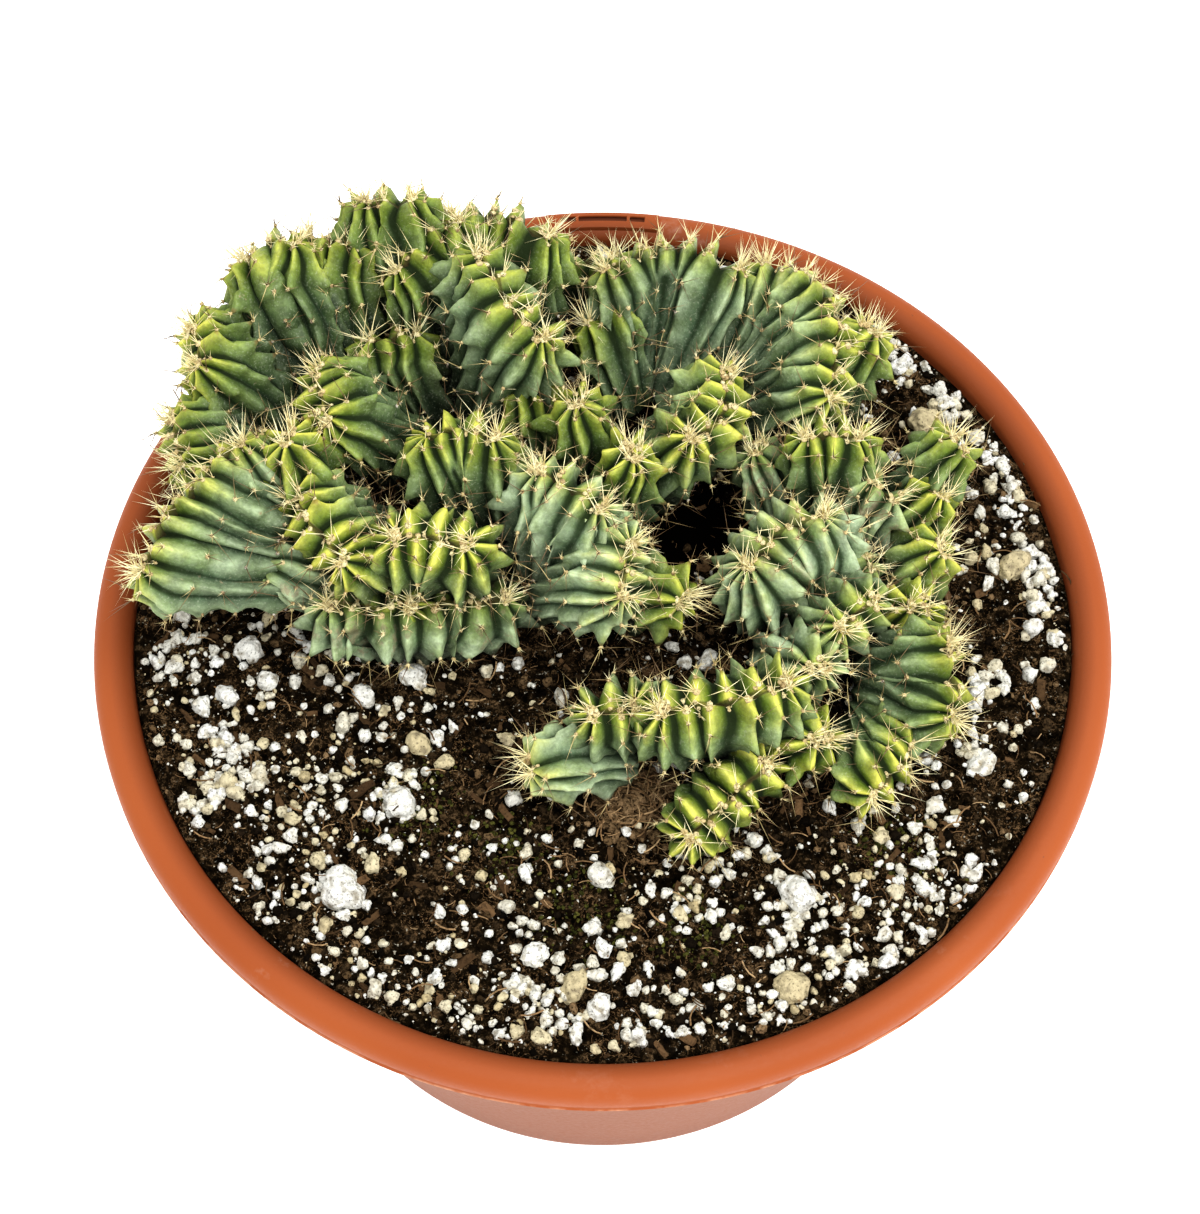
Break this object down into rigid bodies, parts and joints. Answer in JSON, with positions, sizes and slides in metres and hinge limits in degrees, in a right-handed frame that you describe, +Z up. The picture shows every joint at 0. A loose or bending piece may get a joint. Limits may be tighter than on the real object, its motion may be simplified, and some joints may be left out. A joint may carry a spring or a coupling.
{
  "type": "potted crested cactus",
  "caption": "Crested blue candle cactus with folded, ribbed, spiny fans, growing in a peat and perlite mix in a round terracotta-coloured plastic bowl.",
  "frame": {"origin": "centre of the bowl's flat foot, on the surface it stands on", "axes": "+Z up, +Y to the back of the bowl where the rim's label panel is, +X to the right seen from the front"},
  "size_m": [0.254, 0.254, 0.2064],
  "materials": {
    "bowl_plastic": "satin terracotta-coloured plastic",
    "potting_mix": "dark fibrous peat with white perlite",
    "cactus_skin": "waxy green skin, blue-grey bloom on the older parts"
  },
  "bodies": {
    "root": {"pot": "bowl_plastic", "soil": "potting_mix", "crest_back": "cactus_skin", "crest_left": "cactus_skin", "crest_front_left": "cactus_skin", "crest_centre": "cactus_skin", "crest_back_right": "cactus_skin", "crest_right": "cactus_skin", "crest_grey": "cactus_skin", "crest_right_edge": "cactus_skin", "crest_front": "cactus_skin"}
  },
  "joints": []
}
